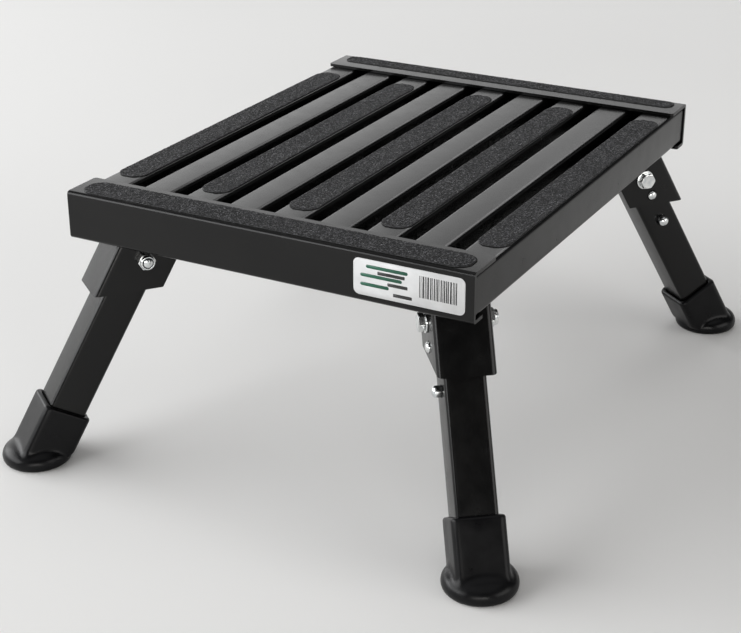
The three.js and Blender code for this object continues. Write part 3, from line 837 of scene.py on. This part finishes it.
def leg(corner, shared):
    """One leg with its bracket, pivot and lock. Meshes that the legs have in common are shared."""
    place, sole = leg_place(corner)
    body, lock = f"leg_{corner}", f"lock_{corner}"
    bracket(corner, place)
    head_side, nut_side = side_place(place, -1), side_place(place, 1)

    def fixed(part, make, at, rides, materials, edge=0.0):
        if part not in shared:
            shared[part] = make()
        return piece(f"{part}_{corner}", shared[part], at, rides, materials, edge=edge)

    fixed("leg_tube", lambda: leg_tube_mesh(place, corner), place, body, [POWDER], EDGE)
    fixed("rubber_foot", lambda: boot_mesh(place, sole, corner), place, body, [RUBBER])

    bolt = box_in(head_side, f"pivot_bolt_{corner}")
    nut = box_in(nut_side, f"pivot_nut_{corner}")
    washer = box_in(head_side, f"pivot_washer_{corner}")
    bushing = box_in(nut_side, f"pivot_bushing_{corner}")
    flats = bolt[1].x * 2
    seat = washer[1].z + 0.1

    def ring_of(name, box, edge):
        return lambda: ring_mesh(name, box[1].x, WASHER_BORE, box[0].z, box[1].z, edge)

    for part, make, at, materials, edge in (
        ("pivot_bolt", lambda: bolt_mesh(flats, bolt[0].z, seat, bolt[1].z), head_side, [ZINC], 0.1),
        ("pivot_nut", lambda: nut_mesh(flats, nut[0].z, nut[1].z), nut_side, [ZINC, NYLON], 0.08),
        ("pivot_washer", ring_of("washer", washer, 0.35), head_side, [ZINC], 0.0),
        ("pivot_bushing", ring_of("bushing", bushing, 0.3), nut_side, [ZINC], 0.0),
    ):
        fixed(part, make, at, "deck", materials, edge)

    leaf = box_in(place, f"lock_spring_{corner}")
    spring = fixed("lock_spring", lambda: leaf_mesh(*leaf), place, body, [SPRING], 0.12)
    across = place.to_3x3().col[1].copy()
    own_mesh(spring)

    for part, dome in PLUNGER_DOMES.items():
        low, high = box_in(head_side, f"{part}_{corner}")
        drop = (low.y + high.y) / 2
        at = head_side @ Matrix.Translation((0, drop * MM, 0))
        plunger = fixed(
            part, lambda: plunger_mesh(part, high.x, low.z, high.z, dome),
            at, lock, [ZINC],
        )
        if part == "lock_pin":
            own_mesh(plunger)


rail("front")
rail("rear")
slats()
strips = sorted(n for n in frame["nodes"] if n.endswith("grip_strip"))
for seed, strip in enumerate(strips):
    grip_strip(strip, seed + 1)
label()
shared_meshes = {}
for corner_name in CORNERS:
    leg(corner_name, shared_meshes)


# ---- floor, light and camera ----
def floor():
    """A wide pale disc, its top at floor level."""
    s = Shader("studio_floor")
    tones = [(0.3, (0.79, 0.785, 0.775)), (0.7, (0.82, 0.815, 0.805))]
    s.set(Base_Color=s.ramp(s.noise(900, 3), tones), Roughness=0.75, IOR=1.35)
    profile = [(0, -2), (FLOOR_RADIUS, -2), (FLOOR_RADIUS, 0), (0, 0)]
    disc = bpy.data.objects.new("floor", to_mesh("floor", *turned(profile, 96)))
    disc.data.materials.append(s.material)
    bpy.context.scene.collection.objects.link(disc)


def softbox(name, place, aim, size, power, colour):
    """A rectangular lamp that faces a point."""
    lamp = bpy.data.lights.new(name, "AREA")
    lamp.shape, lamp.size, lamp.size_y = "RECTANGLE", *size
    lamp.energy, lamp.color = power, colour
    obj = bpy.data.objects.new(name, lamp)
    obj.location = place
    obj.rotation_mode = "QUATERNION"
    obj.rotation_quaternion = (Vector(aim) - Vector(place)).to_track_quat("-Z", "Y")
    bpy.context.scene.collection.objects.link(obj)


def studio():
    """A dim room with a large soft key low on the left and pale screens behind it."""
    world = bpy.data.worlds.new("studio")
    bpy.context.scene.world = world
    world.use_nodes = True
    tree = world.node_tree

    def ramp(value, stops):
        node = tree.nodes.new("ShaderNodeValToRGB")
        for element, (position, shade) in zip(node.color_ramp.elements, stops):
            element.position, element.color = position, (*shade, 1)
        tree.links.new(value, node.inputs["Fac"])
        return node.outputs["Color"]

    def blend(kind, one, two):
        node = tree.nodes.new("ShaderNodeMix")
        node.data_type, node.blend_type = "RGBA", kind
        node.inputs["Factor"].default_value = 1
        tree.links.new(one, node.inputs["A"])
        tree.links.new(two, node.inputs["B"])
        return node.outputs["Result"]

    direction = tree.nodes.new("ShaderNodeTexCoord").outputs["Generated"]
    dot = tree.nodes.new("ShaderNodeVectorMath")
    dot.operation = "DOT_PRODUCT"
    dot.inputs[1].default_value = (-0.92, 0.39, 0)
    tree.links.new(direction, dot.inputs[0])
    axes = tree.nodes.new("ShaderNodeSeparateXYZ")
    tree.links.new(direction, axes.inputs[0])
    screens = ramp(dot.outputs["Value"], ((0.4, (0.035, 0.035, 0.035)), (0.86, (1, 1, 1))))
    dim_above = ramp(axes.outputs["Z"], ((0.45, (1, 1, 1)), (0.72, (0.035, 0.035, 0.035))))
    horizon = ramp(axes.outputs["Z"], ((0.06, (0.22, 0.22, 0.22)), (0.2, (0.035, 0.035, 0.035))))
    ceiling = ramp(axes.outputs["Z"], ((0.74, (0.035, 0.035, 0.035)), (0.9, (0.32, 0.32, 0.32))))
    light = blend("LIGHTEN", blend("MULTIPLY", screens, dim_above), blend("LIGHTEN", horizon, ceiling))
    tree.links.new(light, tree.nodes["Background"].inputs["Color"])
    tree.nodes["Background"].inputs["Strength"].default_value = 1.6
    softbox("key", (-3.2, -1.6, 1.8), (0, 0, 0.1), (6.5, 2.2), 222, (0.985, 0.993, 1.0))
    softbox("back", (-0.2, 2.5, 1.85), (0, 0, 0.2), (1.3, 0.9), 9, (1.0, 1.0, 1.0))
    softbox("right_fill", (3.4, 0.1, 1.2), (0, 0, 0.1), (3.0, 1.6), 32, (1.0, 0.985, 0.965))
    softbox("front_fill", (1.6, -3.0, 0.7), (0, 0, 0), (2.4, 0.8), 34, (1.0, 0.98, 0.95))


def camera():
    """The photo's viewpoint: low, from the label's end of the front rail."""
    azimuth, elevation, roll = (math.radians(turn) for turn in (28.5, 24.41, -0.13))
    back = Vector((
        math.sin(azimuth) * math.cos(elevation),
        -math.cos(azimuth) * math.cos(elevation),
        math.sin(elevation),
    ))
    target = Vector((0.12667, -0.27852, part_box("front_rail")[1].z))
    data = bpy.data.cameras.new("camera")
    data.sensor_width, data.lens = 36, 80.04
    obj = bpy.data.objects.new("camera", data)
    obj.location = target + back * 0.92704
    obj.rotation_mode = "QUATERNION"
    obj.rotation_quaternion = (-back).to_track_quat("-Z", "Y") @ Quaternion((0, 0, 1), roll)
    bpy.context.scene.collection.objects.link(obj)
    bpy.context.scene.camera = obj


floor()
studio()
camera()
bpy.context.scene.view_settings.view_transform = "Standard"
